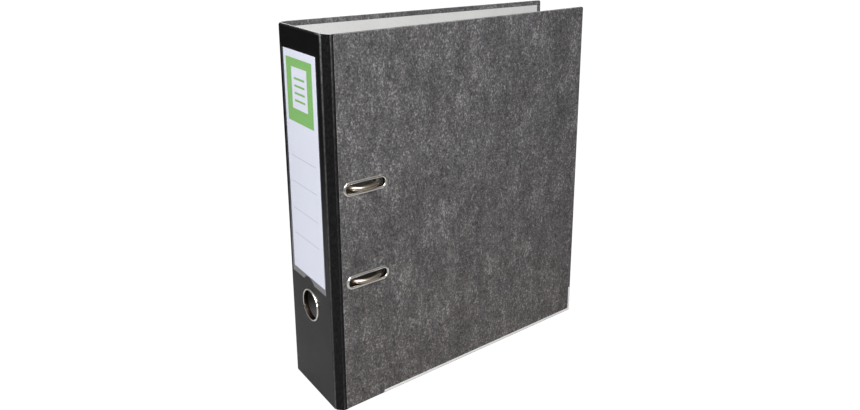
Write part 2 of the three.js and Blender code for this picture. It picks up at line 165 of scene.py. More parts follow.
# Mechanism
MECHANISM_MIDDLE = (low("base_plate").z + high("base_plate").z) / 2
CASE_THICKNESS = 2.6
LINING_HEIGHT = BACK_FACE - CASE_THICKNESS
WIRE_RADIUS = 2
AXLE = (17.5, 8)
CRANK_ACROSS = 35
CRANK_ENDS = (-10, -22)
CRANK_BEND = 3.5
FOOT_BEND = 5
POST_ACROSS = 49.5
POST_TOP = 48
CROWN_HEIGHT = 83.6
TIP_GAP = 0.1

# Camera and light: places and sizes in metres, angles in degrees, the lens in millimetres
CAMERA_LENS = 33.043
CAMERA_SHIFT = (-0.0151, -0.0832)
CAMERA_PLACE = (-0.3944, -0.5636, 0.4047)
CAMERA_TILT = 74.25
CAMERA_TURN = -34.585
SKY_STRENGTH = 0.4
BACKDROP_STRENGTH = 1.05
TABLE_RADIUS = 0.52
TABLE_TOP = -0.0002
LIGHTS = {  # place, aim, size, and power in watts
    "key": ((-0.62, -0.85, 1.1), (0, 0, 0.15), (0.6, 0.6), 36),
    "side": ((-1.25, -0.05, 1.1), (-0.14, 0, 0.2), (0.6, 0.9), 7.5),
    "back": ((0.55, 1.0, 0.45), (0, 0.04, 0.17), (0.8, 0.8), 12),
}


# Scene: camera, floor and light

def make_camera():
    """Low in front of the file and to its left."""
    data = bpy.data.cameras.new("camera")
    data.lens = CAMERA_LENS
    data.sensor_width = 36
    data.shift_x, data.shift_y = CAMERA_SHIFT
    data.clip_start = 0.01
    camera = bpy.data.objects.new("camera", data)
    camera.location = CAMERA_PLACE
    camera.rotation_euler = (math.radians(CAMERA_TILT), 0, math.radians(CAMERA_TURN))
    bpy.context.scene.collection.objects.link(camera)
    bpy.context.scene.camera = camera


def make_area_light(name, place, aim, size, power):
    """A rectangular lamp at a place, turned towards its aim."""
    data = bpy.data.lights.new(name, "AREA")
    data.shape = "RECTANGLE"
    data.size, data.size_y = size
    data.energy = power
    light = bpy.data.objects.new(name, data)
    light.location = place
    light.rotation_euler = (Vector(aim) - Vector(place)).to_track_quat("-Z", "Y").to_euler()
    bpy.context.scene.collection.objects.link(light)


def make_world():
    """White to the camera; for the light it gives, bright overhead and dim towards the horizon."""
    world = bpy.data.worlds.new("studio")
    world.use_nodes = True
    bpy.context.scene.world = world
    tree = Tree(world.node_tree)
    tree.nodes.clear()
    direction = tree.add("ShaderNodeTexCoord").outputs["Generated"]
    rise = tree.add("ShaderNodeSeparateXYZ", Vector=direction).outputs["Z"]
    sky = tree.ramp(rise, [(0.0, grey(0.03)), (0.10, grey(0.06)), (0.42, grey(0.7)), (1.0, grey(1.0))])
    lighting = tree.add("ShaderNodeBackground", Color=sky, Strength=SKY_STRENGTH)
    backdrop = tree.add("ShaderNodeBackground", Color=grey(1.0), Strength=BACKDROP_STRENGTH)
    seen = tree.add("ShaderNodeLightPath").outputs["Is Camera Ray"]
    both = tree.add("ShaderNodeMixShader")
    tree.link(seen, both.inputs[0])
    tree.link(lighting.outputs[0], both.inputs[1])
    tree.link(backdrop.outputs[0], both.inputs[2])
    tree.link(both.outputs[0], tree.add("ShaderNodeOutputWorld").inputs["Surface"])


def make_floor():
    """A table that lights the object from below and shows in it, but not to the camera."""
    bm = bmesh.new()
    bmesh.ops.create_circle(bm, cap_ends=True, segments=64, radius=TABLE_RADIUS)
    mesh = bpy.data.meshes.new("floor")
    bm.to_mesh(mesh)
    bm.free()
    floor = bpy.data.objects.new("floor", mesh)
    floor.location.z = TABLE_TOP
    bpy.context.scene.collection.objects.link(floor)
    mesh.materials.append(floor_material())
    floor.visible_camera = False


# Material helpers

def grey(value):
    return (value, value, value, 1)


def srgb(red, green, blue):
    """A colour given as a screen shows it, 0 to 255, as the linear colour that a shader takes."""
    def linear(value):
        value /= 255
        return value / 12.92 if value <= 0.04045 else ((value + 0.055) / 1.055) ** 2.4
    return (linear(red), linear(green), linear(blue), 1)


class Tree:
    """A node tree with short calls for the nodes that the materials share."""

    def __init__(self, node_tree):
        self.nodes = node_tree.nodes
        self.links = node_tree.links

    def link(self, source, target):
        self.links.new(source, target)

    def feed(self, socket, value):
        """Links another node's output to a socket, or sets a plain value on it."""
        if isinstance(value, bpy.types.NodeSocket):
            self.link(value, socket)
        else:
            socket.default_value = value

    def add(self, kind, settings=None, **inputs):
        node = self.nodes.new(kind)
        for key, value in (settings or {}).items():
            setattr(node, key, value)
        for key, value in inputs.items():
            self.feed(node.inputs[key.replace("_", " ")], value)
        return node

    def place(self, stretch=(1, 1, 1)):
        """A point's place on the object, squeezed so that patterns come out stretched."""
        coords = self.add("ShaderNodeTexCoord").outputs["Object"]
        scale = tuple(1 / value for value in stretch)
        return self.add("ShaderNodeMapping", Vector=coords, Scale=scale).outputs["Vector"]

    def height(self):
        """How high a point of the object is, in metres."""
        coords = self.add("ShaderNodeTexCoord").outputs["Object"]
        return self.add("ShaderNodeSeparateXYZ", Vector=coords).outputs["Z"]

    def noise(self, size, detail=3, roughness=0.5, stretch=(1, 1, 1), distortion=0):
        """Noise with features of about that many millimetres, from 0 to 1."""
        node = self.add("ShaderNodeTexNoise", Vector=self.place(stretch), Scale=1 / (size * MM),
                        Detail=detail, Roughness=roughness, Distortion=distortion)
        return node.outputs["Fac"]

    def weighted(self, *parts):
        """The sum of (value, weight) pairs."""
        total = None
        for value, weight in parts:
            share = self.math("MULTIPLY", value, weight)
            total = share if total is None else self.math("ADD", total, share)
        return total

    def ramp(self, factor, stops):
        """The colour at that factor between (position, colour) stops."""
        node = self.add("ShaderNodeValToRGB", Fac=factor)
        elements = node.color_ramp.elements
        elements.remove(elements[1])
        elements[0].position, elements[0].color = stops[0]
        for position, color in stops[1:]:
            elements.new(position).color = color
        return node.outputs["Color"]

    def wear_and_highlight(self):
        """How much wear and painted highlight a point has, from the mesh: 1 on the edges that hands and
        shelves rub, where a highlight is painted as well.
        """
        return self.add("ShaderNodeAttribute", {"attribute_name": "wear"}).outputs["Fac"]

    def math(self, operation, a, b=0.0, clamp=False):
        node = self.add("ShaderNodeMath", {"operation": operation, "use_clamp": clamp})
        for socket, value in zip(node.inputs, (a, b)):
            self.feed(socket, value)
        return node.outputs[0]

    def between(self, value, start, end, width=0.0001):
        """1 where value lies between start and end, with soft sides of that width."""
        above = self.add("ShaderNodeMapRange", {"interpolation_type": "SMOOTHSTEP"}, Value=value,
                         **{"From_Min": start - width / 2, "From_Max": start + width / 2})
        below = self.add("ShaderNodeMapRange", {"interpolation_type": "SMOOTHSTEP"}, Value=value,
                         **{"From_Min": end + width / 2, "From_Max": end - width / 2})
        return self.math("MULTIPLY", above.outputs[0], below.outputs[0])

    def mix(self, factor, a, b, blend="MIX"):
        """Colour a with b laid over it by that factor."""
        node = self.add("ShaderNodeMix", {"data_type": "RGBA", "blend_type": blend})
        for number, value in ((0, factor), (6, a), (7, b)):  # the colour sockets are numbers 6 and 7
            self.feed(node.inputs[number], value)
        return node.outputs[2]

    def bump(self, height, distance, strength):
        """A normal for relief that many millimetres deep."""
        node = self.add("ShaderNodeBump", Height=height, Strength=strength, Distance=distance * MM)
        return node.outputs["Normal"]


def new_material(name):
    """A new material, its tree and its Principled shader."""
    material = bpy.data.materials.new(name)
    material.use_nodes = True
    tree = Tree(material.node_tree)
    return material, tree, material.node_tree.nodes["Principled BSDF"]


def set_inputs(tree, shader, **inputs):
    for key, value in inputs.items():
        tree.feed(shader.inputs[key.replace("_", " ")], value)


# Materials

def floor_material():
    """An even, dull grey."""
    material, tree, shader = new_material("floor")
    soft = tree.noise(400, detail=1)
    color = tree.ramp(soft, [(0, grey(0.29)), (1, grey(0.32))])
    set_inputs(tree, shader, Base_Color=color, Roughness=0.8, Specular_IOR_Level=0.2)
    return material


def cloudy_paper_material():
    """Grey paper made with loose fibres: fine specks and short upright tufts over streaky clouds."""
    material, tree, shader = new_material("cloudy_paper")
    specks = tree.noise(1.4, detail=2, roughness=0.6, stretch=(1, 1, 1.2))
    fibres = tree.noise(2.5, detail=4, roughness=0.65, stretch=(1, 1, 1.9), distortion=0.3)
    tufts = tree.noise(6, detail=4, roughness=0.6, stretch=(1, 1, 2.2), distortion=0.4)
    clouds = tree.noise(17, detail=3, roughness=0.55, stretch=(1, 1, 2.4))
    tone = tree.weighted((specks, 0.44), (fibres, 0.25), (tufts, 0.14), (clouds, 0.17))
    color = tree.ramp(tone, [(0.33, srgb(50, 49, 50)), (0.44, srgb(77, 76, 77)),
                             (0.53, srgb(104, 103, 104)), (0.67, srgb(172, 170, 170))])
    tint = tree.ramp(tree.noise(5, detail=3), [(0.35, srgb(136, 125, 117)), (0.65, srgb(121, 126, 134))])
    color = tree.mix(0.3, color, tint, "SOFT_LIGHT")
    # darker and browner towards the bottom of the cover
    browner_towards_foot = tree.ramp(tree.height(), [(0.0, srgb(126, 116, 104)), (0.2, srgb(129, 127, 125)),
                                     (0.32, srgb(131, 131, 132))])
    color = tree.mix(0.5, color, browner_towards_foot, "SOFT_LIGHT")
    flecks = tree.ramp(tree.noise(1.3, detail=2, stretch=(1, 1, 1.6)), [(0.66, grey(0)), (0.74, grey(1))])
    color = tree.mix(tree.math("MULTIPLY", flecks, 0.3), color, srgb(178, 176, 176))
    rubbed = tree.math("MULTIPLY", tree.wear_and_highlight(), tree.ramp(tufts, [(0.35, grey(0.1)), (0.65, grey(0.6))]))
    color = tree.mix(rubbed, color, srgb(138, 134, 131))
    relief = tree.bump(tree.math("ADD", specks, fibres), 0.06, 0.6)
    set_inputs(tree, shader, Base_Color=color, Roughness=0.62, Specular_IOR_Level=0.25, Normal=relief)
    return material


def black_covering_material(name, grain_strength, speck_share, shine):
    """Black paper with a fine leather grain and a dull shine; lighter specks painted as glints on the
    grain, and a painted highlight with some rubbing on the marked edges, broken up like scuff marks.
    """
    material, tree, shader = new_material(name)
    grain = tree.noise(0.9, detail=3, roughness=0.65)
    # lighter specks: painted glints where the grain catches grazing light
    grain_glints = tree.ramp(tree.noise(1.5, detail=3, roughness=0.6, stretch=(1, 1, 1.6)),
                     [(0.42, grey(0)), (0.68, grey(1))])
    color = tree.mix(tree.math("MULTIPLY", grain_glints, speck_share), srgb(12, 12, 13), srgb(66, 65, 66))
    # the marked edges take a painted highlight with some rubbing, broken up like scuff marks, towards a
    # mid grey
    scuffed_highlight = tree.ramp(tree.noise(1.8, detail=4, roughness=0.7, stretch=(1, 1, 1.8)),
                       [(0.34, grey(0.2)), (0.66, grey(1.0))])
    color = tree.mix(tree.math("MULTIPLY", tree.wear_and_highlight(), scuffed_highlight), color, srgb(112, 112, 112))
    rough = tree.math("ADD", tree.math("MULTIPLY", tree.noise(20), 0.08), 0.34)
    relief = tree.bump(grain, 0.05, grain_strength)
    set_inputs(tree, shader, Base_Color=color, Roughness=rough, Specular_IOR_Level=shine, Normal=relief)
    return material


def lining_material():
    """Pale, dull paper with a faint pulp grain."""
    material, tree, shader = new_material("lining_paper")
    pulp = tree.noise(0.8, detail=4, roughness=0.6, stretch=(1, 1, 1.5))
    cloud = tree.noise(30, detail=2)
    tone = tree.weighted((pulp, 0.6), (cloud, 0.4))
    color = tree.ramp(tone, [(0.3, srgb(168, 168, 167)), (0.7, srgb(182, 182, 181))])
    set_inputs(tree, shader, Base_Color=color, Roughness=0.75, Specular_IOR_Level=0.3,
               Normal=tree.bump(pulp, 0.03, 0.4))
    return material


def nickel_material(name, roughness, dark, light):
    """Plated metal between two tones, a little duller where it is handled."""
    material, tree, shader = new_material(name)
    wear = tree.noise(3, detail=4, roughness=0.6)
    rough = tree.math("ADD", tree.math("MULTIPLY", wear, 0.12), roughness - 0.06)
    color = tree.ramp(tree.noise(9), [(0.3, dark), (0.7, light)])
    set_inputs(tree, shader, Base_Color=color, Metallic=1.0, Roughness=rough,
               Normal=tree.bump(tree.noise(0.9, detail=2), 0.01, 0.3))
    return material


def rail_material():
    """Bright drawn metal, with fine lines along it."""
    material, tree, shader = new_material("edge_rail")
    drawn = tree.noise(0.5, detail=3, stretch=(30, 1, 1))
    rough = tree.math("ADD", tree.math("MULTIPLY", drawn, 0.2), 0.34)
    color = tree.ramp(drawn, [(0.3, srgb(226, 226, 224)), (0.7, srgb(240, 240, 238))])
    set_inputs(tree, shader, Base_Color=color, Metallic=0.45, Roughness=rough,
               Normal=tree.bump(drawn, 0.01, 0.4))
    return material


def label_material():
    """White card with a green title block, a plain sheet sign in it, and four writing rules."""
    material, tree, shader = new_material("label_print")
    coords = tree.add("ShaderNodeTexCoord").outputs["Object"]
    parts = tree.add("ShaderNodeSeparateXYZ", Vector=coords)
    across, up = parts.outputs["Y"], parts.outputs["Z"]
    plane = FRONT_PLANE * MM

    def patch(a0, a1, z0, z1):
        """1 inside a rectangle on the label."""
        wide = tree.between(across, plane + a0 * MM, plane + a1 * MM)
        tall = tree.between(up, z0 * MM, z1 * MM)
        return tree.math("MULTIPLY", wide, tall)

    pulp = tree.noise(0.8, detail=3)
    paper = tree.ramp(pulp, [(0.3, srgb(208, 210, 222)), (0.7, srgb(213, 215, 227))])
    ink = tree.ramp(tree.noise(1.2), [(0.3, srgb(104, 166, 62)), (0.7, srgb(112, 172, 72))])
    block = patch(*LABEL_BLOCK)
    color = tree.mix(block, paper, ink)
    sign = tree.math("MULTIPLY", sheet_sign(tree, patch), block)
    color = tree.mix(sign, color, paper)
    a0, a1 = LABEL_BLOCK[:2]
    rules = [patch(a0, a1 - 1, z - RULE_HALF, z + RULE_HALF) for z in LABEL_RULES]
    for rule in rules:
        color = tree.mix(tree.math("MULTIPLY", rule, 0.62), color, srgb(120, 122, 128))
    set_inputs(tree, shader, Base_Color=color, Roughness=0.5, Specular_IOR_Level=0.4)
    return material


def sheet_sign(tree, patch):
    """A sheet of paper with lines on it: a plain sign that this is a file."""
    page = patch(*SIGN_PAGE)
    lines = tree.weighted(*[(patch(*SIGN_LINE_ENDS, z - SIGN_LINE_HALF, z + SIGN_LINE_HALF), 1.0)
                            for z in SIGN_LINES])
    return tree.math("SUBTRACT", page, lines, clamp=True)


def film_material():
    """Clear plastic film, thin enough not to bend what is seen through it."""
    material, tree, shader = new_material("pocket_film")
    ripple = tree.noise(12, detail=2)
    set_inputs(tree, shader, Base_Color=srgb(215, 217, 230), Roughness=0.12, Alpha=0.06, IOR=1.5,
               Normal=tree.bump(ripple, 0.3, 0.25))
    return material


def pocket_border_material():
    """Where the film is welded to the spine: cloudy, and lighter towards the pocket's open foot, where a
    reflection of the pale floor is painted.
    """
    material, tree, shader = new_material("pocket_border")
    ripple = tree.noise(12, detail=2)
    # cloudy film, lighter towards the foot: a painted reflection of the floor
    cloudy = tree.ramp(tree.height(), [(0.1, srgb(119, 119, 122)), (0.14, srgb(88, 88, 92)),
                                       (0.19, srgb(62, 63, 67)), (0.29, srgb(58, 60, 64))])
    set_inputs(tree, shader, Base_Color=cloudy, Roughness=0.32, Alpha=0.8, IOR=1.5,
               Specular_IOR_Level=0.8, Normal=tree.bump(ripple, 0.3, 0.25))
    return material


# Outlines. Each is a function of how far the outline is moved outwards.

def rounded_rectangle(a0, a1, b0, b1, radii, steps=6):
    """radii are the corners' radii, from the low a, low b corner round to the low a, high b one."""
    corners = [(a0, b0, 1, 1), (a1, b0, -1, 1), (a1, b1, -1, -1), (a0, b1, 1, -1)]

    def outline(grow):
        points = []
        for i, ((a, b, sa, sb), radius) in enumerate(zip(corners, radii)):
            r = max(radius + grow, 0.01)
            centre_a = a + sa * (r - grow)
            centre_b = b + sb * (r - grow)
            start = math.pi + i * math.pi / 2
            for k in range(steps + 1):
                angle = start + math.pi / 2 * k / steps
                points.append((centre_a + r * math.cos(angle), centre_b + r * math.sin(angle)))
        return points
    return outline


def stadium(a, b, length, width, steps=20):
    """A slot with round ends, its length along a."""
    reach = (length - width) / 2

    def outline(grow):
        r = width / 2 + grow
        points = []
        for centre, start in ((a + reach, -math.pi / 2), (a - reach, math.pi / 2)):
            for k in range(steps + 1):
                angle = start + math.pi * k / steps
                points.append((centre + r * math.cos(angle), b + r * math.sin(angle)))
        return points
    return outline


def circle(a, b, radius, steps=64):
    def outline(grow):
        r = radius + grow
        return [(a + r * math.cos(2 * math.pi * k / steps), b + r * math.sin(2 * math.pi * k / steps))
                for k in range(steps)]
    return outline


def refined(outline, spacing):
    """The same outline with points added along its long sides."""
    base = outline(0)
    counts = [max(1, round(math.dist(p, q) / spacing)) for p, q in zip(base, base[1:] + base[:1])]

    def finer(grow):
        points = outline(grow)
        sides = zip(points, points[1:] + points[:1], counts)
        return [(p[0] + (q[0] - p[0]) * k / count, p[1] + (q[1] - p[1]) * k / count)
                for p, q, count in sides for k in range(count)]
    return finer


def smooth_line(points, steps=5):
    """A Catmull-Rom curve through a list of points."""
    padded = [points[0], *points, points[-1]]
    line = []
    for i in range(1, len(padded) - 2):
        p0, p1, p2, p3 = (Vector(p) for p in padded[i - 1:i + 3])
        for k in range(steps):
            t = k / steps
            line.append(0.5 * (2 * p1 + (p2 - p0) * t + (2 * p0 - 5 * p1 + 4 * p2 - p3) * t ** 2
                               + (3 * p1 - p0 - 3 * p2 + p3) * t ** 3))
    line.append(Vector(points[-1]))
    return line


# Mesh helpers

def bridge(bm, first, second, closed=True):
    """Quads between two rings of the same length."""
    count = len(first)
    for i in range(count if closed else count - 1):
        j = (i + 1) % count
        bm.faces.new((first[i], first[j], second[j], second[i]))


def build(name, bm, material, place=Matrix(), sharp=35):
    """Turns a drawing in millimetres into an object in the frame's metres."""
    bmesh.ops.remove_doubles(bm, verts=bm.verts, dist=1e-4)
    bmesh.ops.dissolve_degenerate(bm, edges=bm.edges, dist=1e-5)
    bmesh.ops.transform(bm, matrix=Matrix.Scale(MM, 4) @ place, verts=bm.verts)
    bmesh.ops.recalc_face_normals(bm, faces=bm.faces)
    mesh = bpy.data.meshes.new(name)
    bm.to_mesh(mesh)
    bm.free()
    mesh.shade_smooth()
    mesh.set_sharp_from_angle(angle=math.radians(sharp))
    mesh.materials.append(material)
    obj = bpy.data.objects.new(name, mesh)
    bpy.context.scene.collection.objects.link(obj)
    even = obj.modifiers.new("even_normals", "WEIGHTED_NORMAL")
    even.keep_sharp = True
    return obj


def rim_profile(depth0, depth1, outer_radius, inner_radius, steps=5):
    """(inset, depth, wear and painted highlight) from the outer face round the rim to the inner one."""
    if outer_radius == 0:
        return [(0, depth0, 0), (0, depth1, 0)]
    quarter = [math.pi / 2 * k / steps for k in range(steps + 1)]
    near = [(outer_radius * (1 - math.sin(t)), depth0 + outer_radius * (1 - math.cos(t)),
             math.sin(2 * t) ** 3) for t in quarter]
    far = [(inner_radius * (1 - math.sin(t)), depth1 - inner_radius * (1 - math.cos(t)), 0)
           for t in quarter]
    return near + far[::-1]


def everywhere(a, b):
    """The share of wear and painted highlight on a rim that is rubbed evenly."""
    return 1


def slab(outer, holes, depth0, depth1, radii, point, wear_and_highlight_at=everywhere):
    """A sheet with holes and rounded rims. point(a, b, depth) gives a point's place."""
    bm = bmesh.new()
    wear = bm.verts.layers.float.new("wear")
    outer_radius, inner_radius = radii
    near, far = [], []
    for outline, side in [(outer, -1)] + [(hole, 1) for hole in holes]:
        rings = []
        for inset, depth, wear_and_highlight in rim_profile(depth0, depth1, outer_radius, inner_radius):
            ring = []
            for a, b in outline(side * inset):
                vert = bm.verts.new(point(a, b, depth))
                vert[wear] = wear_and_highlight * wear_and_highlight_at(a, b) if outline is outer else 0
                ring.append(vert)
            rings.append(ring)
        for first, second in zip(rings, rings[1:]):
            bridge(bm, first, second)
        near.append((outline(side * outer_radius), rings[0]))
        far.append((outline(side * inner_radius), rings[-1]))
    for face in (near, far):
        loops = [[Vector((a, b, 0)) for a, b in flat] for flat, _ in face]
        verts = [vert for _, ring in face for vert in ring]
        for triangle in tessellate_polygon(loops):
            bm.faces.new([verts[i] for i in triangle])
    return bm


def rim(outline, profile, point):
    """A ring of metal round an opening. profile is a closed list of (grow, depth)."""
    bm = bmesh.new()
    rings = [[bm.verts.new(point(a, b, depth)) for a, b in outline(grow)] for grow, depth in profile]
    for first, second in zip(rings, rings[1:] + rings[:1]):
        bridge(bm, first, second)
    return bm


def prism(loop, z0, z1, slices, wobble=None, wear_and_highlight=None, turn=None):
    """A closed section in x and y, drawn out along z. Faces from point number turn on are the inner
    side, and take the piece's second material."""
    bm = bmesh.new()
    wear = bm.verts.layers.float.new("wear")
    rings = []
    for i in range(slices + 1):
        z = z0 + (z1 - z0) * i / slices
        ring = []
        for k, (x, y) in enumerate(loop):
            shift = wobble(x, k, z) if wobble else (0, 0, 0)
            vert = bm.verts.new(Vector((x, y, z)) + Vector(shift))
            vert[wear] = wear_and_highlight(k, z) if wear_and_highlight else 0
            ring.append(vert)
        rings.append(ring)
    for first, second in zip(rings, rings[1:]):
        count = len(bm.faces)
        bridge(bm, first, second)
        bm.faces.ensure_lookup_table()
        for k in range(turn or len(loop), len(loop)):
            bm.faces[count + k].material_index = 1
    for ring in (rings[0], rings[-1]):
        flat = [Vector((vert.co.x, vert.co.y, 0)) for vert in ring]
        for triangle in tessellate_polygon([flat]):
            bm.faces.new([ring[i] for i in triangle])
    return bm


def sweep(path, radius, sides=28, end_normals=None):
    """A round wire along a list of points, with flat ends, square to it or on planes with end_normals."""
    bm = bmesh.new()
    rings = []
    up = None
    for i, here in enumerate(path):
        before = path[max(i - 1, 0)]
        after = path[min(i + 1, len(path) - 1)]
        along = (after - before).normalized()
        if up is None:
            up = along.orthogonal().normalized()
        up = (up - along * up.dot(along)).normalized()
        side = along.cross(up)
        rings.append([bm.verts.new(here + radius * (up * math.cos(t) + side * math.sin(t)))
                      for t in (2 * math.pi * k / sides for k in range(sides))])
    for first, second in zip(rings, rings[1:]):
        bridge(bm, first, second)
    if end_normals:
        for ring, here, inside, normal in ((rings[0], path[0], path[1], end_normals[0]),
                                           (rings[-1], path[-1], path[-2], end_normals[1])):
            along = (here - inside).normalized()
            for vert in ring:
                vert.co += along * ((here - vert.co).dot(normal) / along.dot(normal))
    for ring in (rings[0], rings[-1]):
        bm.faces.new(ring)
    return bm


def second_material(bm, first_ring, last_ring, count):
    """The faces between those rings, of so many faces each, take the piece's second material."""
    bm.faces.ensure_lookup_table()
    for face in bm.faces[first_ring * count:last_ring * count]:
        face.material_index = 1


def lathe(profile, steps):
    """A closed profile of (radius, along), turned about the x axis."""
    bm = bmesh.new()
    rings = []
    for r, along in profile:
        ring = []
        for k in range(steps):
            angle = 2 * math.pi * k / steps
            ring.append(bm.verts.new((along, r * math.cos(angle), r * math.sin(angle))))
        rings.append(ring)
    for first, second in zip(rings, rings[1:] + rings[:1]):
        bridge(bm, first, second)
    return bm


# Places

FRONT_PLANE = -BACK_FACE
FRONT_COVER = Matrix.Translation((FRONT_HINGE.x, FRONT_HINGE.y, 0)) @ Matrix.Rotation(TOE_IN, 4, "Z")
BACK_COVER = Matrix.Translation((BACK_HINGE.x, BACK_HINGE.y, 0)) @ Matrix.Scale(-1, 4, (0, 1, 0))
MECHANISM = Matrix.Translation((SPINE_FACE, LINING_HEIGHT, MECHANISM_MIDDLE))


def on_cover(a, b, depth):
    """A point on a cover: a along it, b up, and its depth below the outer face."""
    return (a, depth - HINGE_DEPTH, b)


def on_spine(a, b, depth):
    """A point on the spine: a across it, b up, and its depth below the outer face."""
    return (SPINE_FACE + depth, a, b)


# Covers

def slot_centres():
    """The heights of the upper and the lower slot."""
    return [SLOT_MIDDLE + ARCH_PITCH / 2, SLOT_MIDDLE - ARCH_PITCH / 2]


def slot_openings(play):
    """The front cover's openings, that much longer and wider than the slots."""
    return [stadium(SLOT_ALONG, z, SLOT_LENGTH + play, SLOT_WIDTH + play) for z in slot_centres()]


def make_cover(side, place, holes):
    """One cover: board wrapped in cloudy paper, with the paper turned in round three edges."""
    end = FORE_EDGE - COVER_FORE_INSET
    top = TOP - FRONT_TOP_DROP if side == "front" else TOP
    outline = refined(rounded_rectangle(PAPER_START, end, BOTTOM, top, COVER_RADII), 10)
    bm = slab(outline, holes, 0, COVER_THICKNESS, WRAP_RADII, on_cover)
    shell = build(f"{side}_cover_shell", bm, MATERIALS["cloudy_paper"], place)
    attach(shell, f"{side}_cover")
    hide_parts(f"{side}_cover_paper", f"{side}_cover_board")


def make_lining(side, place, holes):
    """The pale sheet glued inside a cover, over the turned-in edges of the outer paper."""
    sheet = rounded_rectangle(LINING_START, FORE_EDGE - LINING_INSET, LINING_INSET,
                              TOP - LINING_TOP_INSET, (0.5,) * 4)
    bm = slab(refined(sheet, 12), holes, *LINING_DEPTHS, (0.1, 0.02), on_cover)
    lining = build(f"{side}_lining_sheet", bm, MATERIALS["lining_paper"], place)
    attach(lining, f"{side}_cover")
    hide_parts(f"{side}_cover_lining")


def make_eyelet(name, z):
    """A rolled nickel eyelet: a rounded flange on each face and a thin wall through the board."""
    opening = stadium(SLOT_ALONG, z, SLOT_LENGTH, SLOT_WIDTH)
    outer = [(2.2, 0.0), (2.2, -0.25), (2.05, -0.5), (1.75, -0.72), (1.35, -0.85), (0.95, -0.9),
             (0.55, -0.85), (0.22, -0.68), (0.05, -0.4), (0.0, 0.1)]
    inner = [(0.0, 2.75), (0.05, 3.1), (0.3, 3.38), (0.7, 3.48), (1.4, 3.42), (2.0, 3.2), (2.2, 2.95),
             (2.2, 2.7), (0.5, 2.7), (0.4, 2.5), (0.4, 0.1)]
    bm = rim(opening, outer + inner, on_cover)
    # the wall through the board takes the second, dark metal: painted shade inside the slot
    second_material(bm, len(outer) - 1, len(outer), len(opening(0)))
    eyelet = build(name, bm, MATERIALS["satin_nickel"], FRONT_COVER, 60)
    eyelet.data.materials.append(MATERIALS["metal_in_painted_shade"])
    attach(eyelet, "front_cover")
    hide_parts(name)


def rail_path(grow):
    """The lower edge and the start of the fore edge, moved inwards by grow."""
    r = max(RAIL_CORNER - grow, 0.01)
    points = [(RAIL_START, grow)]
    for k in range(7):
        angle = -math.pi / 2 + math.pi / 2 * k / 6
        points.append((FORE_EDGE - grow - r + r * math.cos(angle), grow + r + r * math.sin(angle)))
    points.append((FORE_EDGE - grow, RAIL_RISE))
    return points


def make_rail(side, place):
    """A folded metal channel round the board's edge, with a slightly rolled lip on each leg."""
    low_face, high_face = RAIL_DEPTHS
    middle = (low_face + high_face) / 2
    half = (high_face - low_face) / 2
    outside = [(RAIL_LEG, low_face + 0.2), (RAIL_LEG - 0.15, low_face + 0.04), (RAIL_LEG - 0.4, low_face),
               (2.1, low_face), (1.9, low_face + 0.07), (1.7, low_face + 0.1), (1.5, low_face + 0.07),
               (1.3, low_face)]
    bend = [(RAIL_BEND - RAIL_BEND * math.sin(t), middle - half * math.cos(t))
            for t in (math.pi * k / 10 for k in range(1, 10))]
    far = [(h, high_face + low_face - d) for h, d in outside[::-1]]
    inside = [(RAIL_LEG, high_face - RAIL_WALL), (RAIL_WALL, high_face - RAIL_WALL),
              (RAIL_WALL, low_face + RAIL_WALL), (RAIL_LEG, low_face + RAIL_WALL)]
    profile = outside + bend + far + inside
    bm = bmesh.new()
    rings = [[bm.verts.new(on_cover(a, b, depth)) for a, b in rail_path(grow)]
             for grow, depth in profile]
    for first, second in zip(rings, rings[1:] + rings[:1]):
        bridge(bm, first, second, closed=False)
    for end in (0, -1):
        bmesh.ops.contextual_create(bm, geom=[ring[end] for ring in rings])
    rail = build(f"{side}_rail", bm, MATERIALS["edge_rail"], place, 50)
    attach(rail, f"{side}_cover")
    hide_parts(f"{side}_edge_rail")


# Spine and joints

def make_spine():
    """The spine's board in its black covering, with the hole for the finger ring."""
    ring_hole = circle(RING_CENTRE.y, RING_CENTRE.z, RING_HOLE)
    outline = refined(rounded_rectangle(-SPINE_HALF, SPINE_HALF, 0, TOP, (CORNER_RADIUS,) * 4), 8)

    def wear_and_highlight_at(across, z):
        """Only the front upright edge takes the painted highlight, with some rubbing, most of all near
        its ends.
        """
        if across > CORNER_RADIUS - SPINE_HALF:
            return 0
        return 0.3 + 0.7 * math.exp(-(TOP - z) / 45) + 0.3 * math.exp(-z / 25)

    bm = slab(outline, [ring_hole], 0, BOARD_THICKNESS, SPINE_EDGE_RADII, on_spine, wear_and_highlight_at)
    shell = build("spine_shell", bm, MATERIALS["black_covering"])
    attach(shell, "spine")
    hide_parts("spine_covering", "spine_board")


def joint_points(place, side, spine_points, cover_points):
    """A line across a joint: (distance from the spine face, distance behind the cover's plane) on the
    spine, then (along, depth) on the cover."""
    sign = 1 if side == "front" else -1
    spots = [Vector((SPINE_FACE + u, sign * (FRONT_PLANE + v), 0)) for u, v in spine_points]
    spots += [place @ Vector(on_cover(along, 0, depth)) for along, depth in cover_points]
    return [(spot.x, spot.y) for spot in smooth_line([Vector((spot.x, spot.y)) for spot in spots])]


def blend_joint(piece):
    """Bakes the piece's placement into its mesh."""
    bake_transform(piece)


